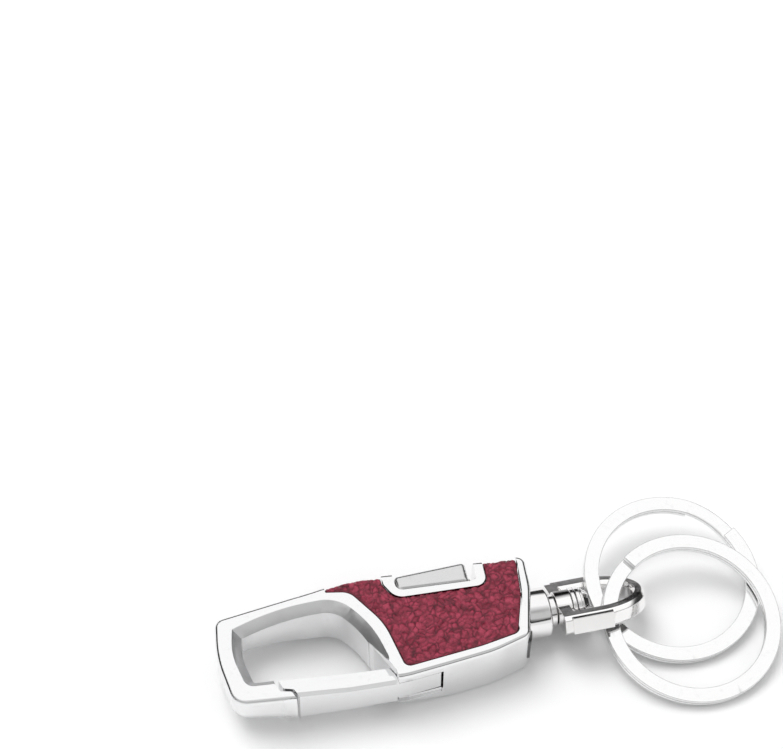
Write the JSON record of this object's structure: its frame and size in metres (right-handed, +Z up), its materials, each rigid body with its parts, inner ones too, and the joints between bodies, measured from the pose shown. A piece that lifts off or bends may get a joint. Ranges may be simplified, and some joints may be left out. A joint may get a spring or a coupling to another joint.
{
  "type": "split key ring",
  "caption": "Carabiner key ring: polished metal hook and casing covered in burgundy pebbled leather, spring gate, side slide, swivel shackle and flat split rings.",
  "frame": {"origin": "centre of the whole part's box, on the surface it lies on", "axes": "+X from the hook to the split rings, +Z up out of the front face, +Y from the gate to the side slide"},
  "size_m": [0.0968, 0.0394, 0.0105],
  "materials": {
    "polished_casting": "bright polished plating",
    "polished_gate": "bright polished plating",
    "polished_lever": "bright polished plating",
    "polished_swivel": "bright polished plating",
    "dark_polished_shackle": "polished plating, slightly darker",
    "ring_steel": "flat wire, polished, nickel plated",
    "burgundy_leather": "pebbled grain, semi-matt",
    "zinc_inside": "plain plated sheet",
    "pin_steel": "ground",
    "spring_steel": "drawn wire",
    "lens_black": "smoked, glossy",
    "switch_plastic": "moulded",
    "board_green": "solder mask",
    "emitter": "moulded, phosphor tint",
    "cell_steel": "nickel plated can",
    "contact_brass": "stamped strip"
  },
  "bodies": {
    "casing": {"body_frame": "polished_casting", "front_plate": "zinc_inside", "rear_plate": "zinc_inside", "leather_wrap": "burgundy_leather", "gate_pin": "pin_steel", "gate_spring": "spring_steel", "lever_spring": "spring_steel", "switch_body": "switch_plastic", "switch_board": "board_green", "torch_lens": "lens_black", "led_board": "board_green", "led_emitter": "emitter", "cell_lower": "cell_steel", "cell_upper": "cell_steel", "contact_plate": "contact_brass", "cell_tray": "switch_plastic", "contact_strap": "contact_brass", "swivel_collar": "polished_swivel", "swivel_washer": "polished_swivel", "head_washer": "polished_swivel", "swivel_post": "polished_swivel"},
    "gate": {"gate": "polished_gate"},
    "lever": {"side_lever": "polished_lever"},
    "knob": {"switch_knob": "switch_plastic"},
    "shackle": {"shackle": "dark_polished_shackle"},
    "ring_a": {"split_ring_a": "ring_steel"},
    "ring_b": {"split_ring_b": "ring_steel"}
  },
  "joints": [
    {"name": "gate_swing", "type": "hinge", "parent": "casing", "child": "gate", "pos_m": [-0.01383, -0.00573, 0.00525], "axis": [0, 0, -1], "range_deg": [0, 20], "stiffness_Nm_per_rad": 0.02, "springref_deg": -28.65, "deforming": ["gate_spring"]},
    {"name": "lever_slide", "type": "slide", "parent": "casing", "child": "lever", "axis": [0.9979, -0.0646, 0], "range_m": [0, 0.001], "stiffness_N_per_m": 200, "springref_m": -0.002, "deforming": ["lever_spring"]},
    {"name": "knob_slide", "type": "slide", "parent": "casing", "child": "knob", "axis": [1, 0, 0], "range_m": [0, 0.00105]},
    {"name": "shackle_swivel", "type": "hinge", "parent": "casing", "child": "shackle", "pos_m": [0.01142, 0.00187, 0.00525], "axis": [1, 0, 0], "continuous": true},
    {"name": "ring_a_turn", "type": "hinge", "parent": "shackle", "child": "ring_a", "pos_m": [0.03222, 0.00428, 0.00433], "axis": [0.0353, -0.2166, 0.9756], "continuous": true},
    {"name": "ring_b_turn", "type": "hinge", "parent": "shackle", "child": "ring_b", "pos_m": [0.03288, -0.00439, 0.00433], "axis": [0.027, -0.2204, 0.975], "continuous": true}
  ],
  "couplings": [
    {"joint": "knob_slide", "follows": "lever_slide", "ratio": 1}
  ]
}
